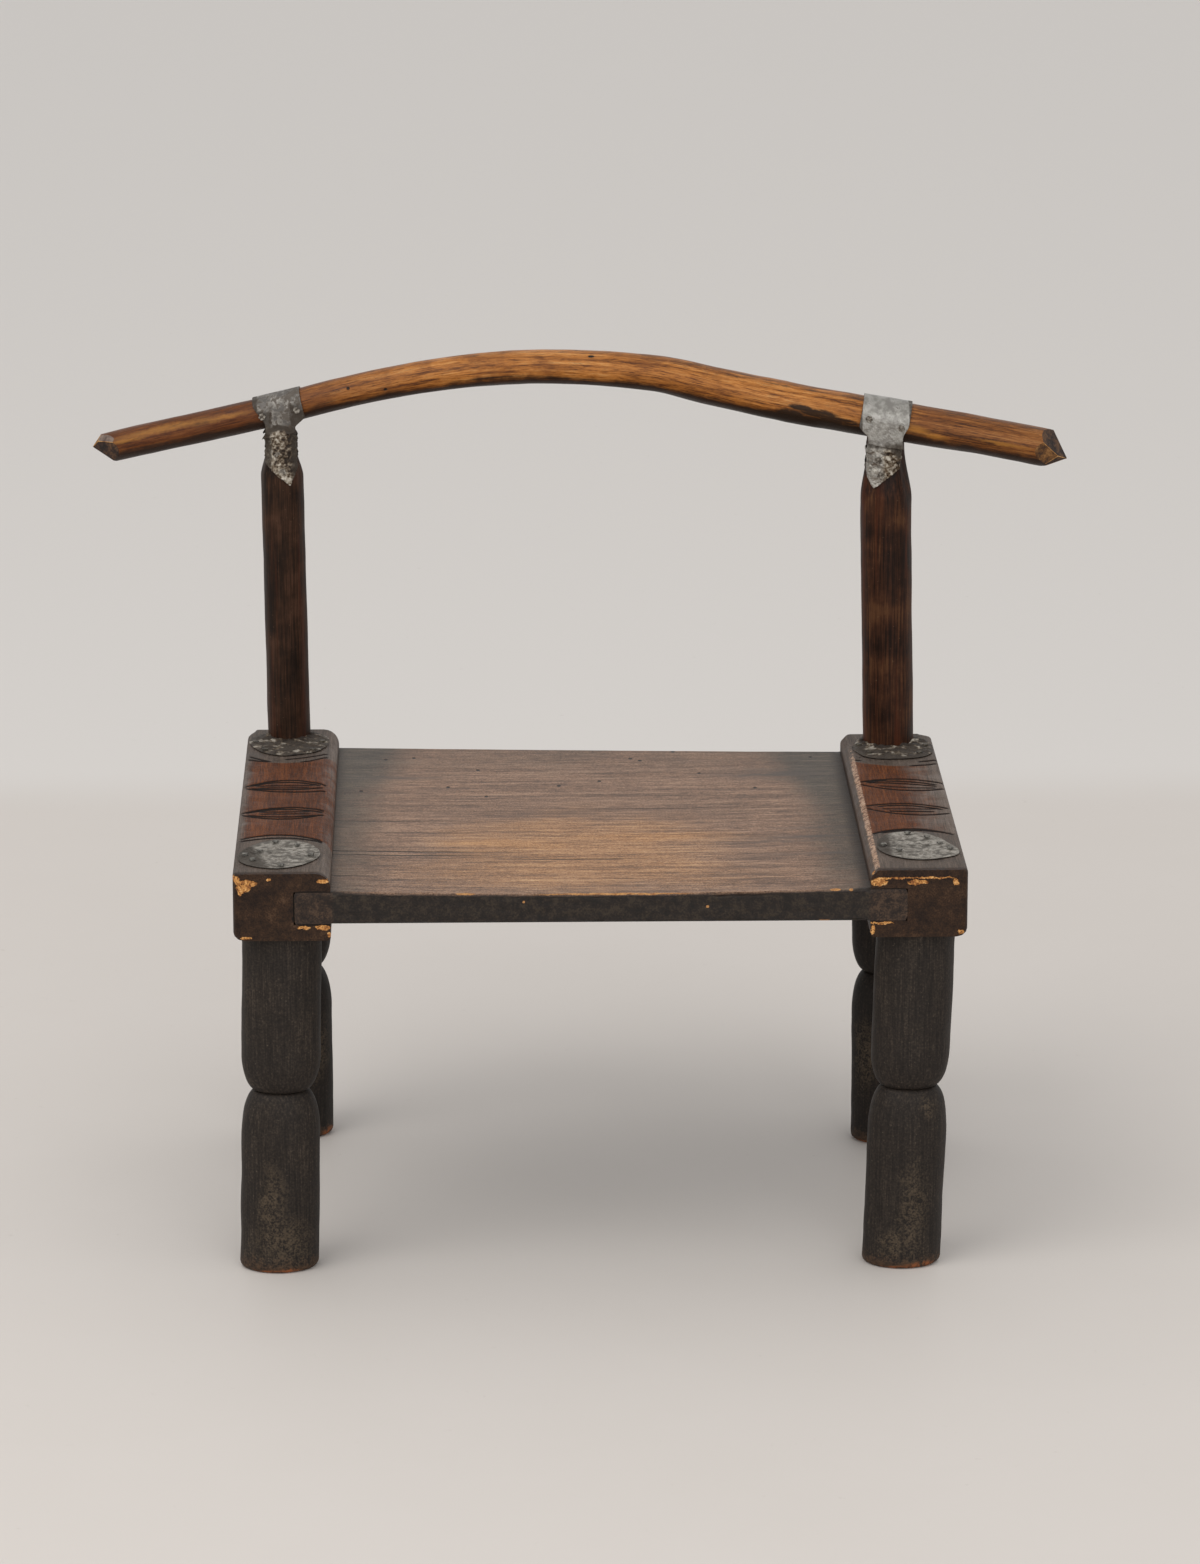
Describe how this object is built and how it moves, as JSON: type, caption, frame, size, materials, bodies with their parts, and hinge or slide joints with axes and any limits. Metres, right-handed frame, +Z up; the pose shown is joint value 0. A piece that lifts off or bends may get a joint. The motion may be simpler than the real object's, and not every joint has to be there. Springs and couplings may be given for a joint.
{
  "type": "birthing chair",
  "caption": "Low carved wooden birthing chair: dished seat board between side rails on waisted legs, with a bent branch as back rail strapped to turned posts.",
  "frame": {"origin": "centre of the footprint of the whole chair, on the floor", "axes": "+X along the back rail to the right as seen from the front, +Y towards the back, +Z up"},
  "size_m": [0.6187, 0.3387, 0.5091],
  "materials": {
    "rail_wood": "dark waxed wood, worn brown on top",
    "board_wood": "grey-brown wood, worn tan in the middle",
    "leg_wood": "near-black smoked wood, matte",
    "post_wood": "dark red-brown wood, handled to a low gloss",
    "branch_wood": "honey brown wood, handled smooth",
    "patch_metal": "dull hammered sheet",
    "collar_metal": "dark dented sheet",
    "tack_metal": "dark iron",
    "strap_metal": "rust-pitted sheet",
    "nail_metal": "rusted iron"
  },
  "bodies": {
    "root": {"back_post_left": "post_wood", "back_post_right": "post_wood", "back_rail": "branch_wood", "cap_tacks_left": "tack_metal", "cap_tacks_right": "tack_metal", "collar_tacks_left": "tack_metal", "collar_tacks_right": "tack_metal", "front_leg_left": "leg_wood", "front_leg_right": "leg_wood", "leg_cap_left": "patch_metal", "leg_cap_right": "patch_metal", "post_collar_left": "collar_metal", "post_collar_right": "collar_metal", "rear_leg_left": "leg_wood", "rear_leg_right": "leg_wood", "seat_board": "board_wood", "side_rail_left": "rail_wood", "side_rail_right": "rail_wood", "strap_left": "strap_metal", "strap_nails_left": "nail_metal", "strap_nails_right": "nail_metal", "strap_right": "strap_metal"}
  },
  "joints": []
}
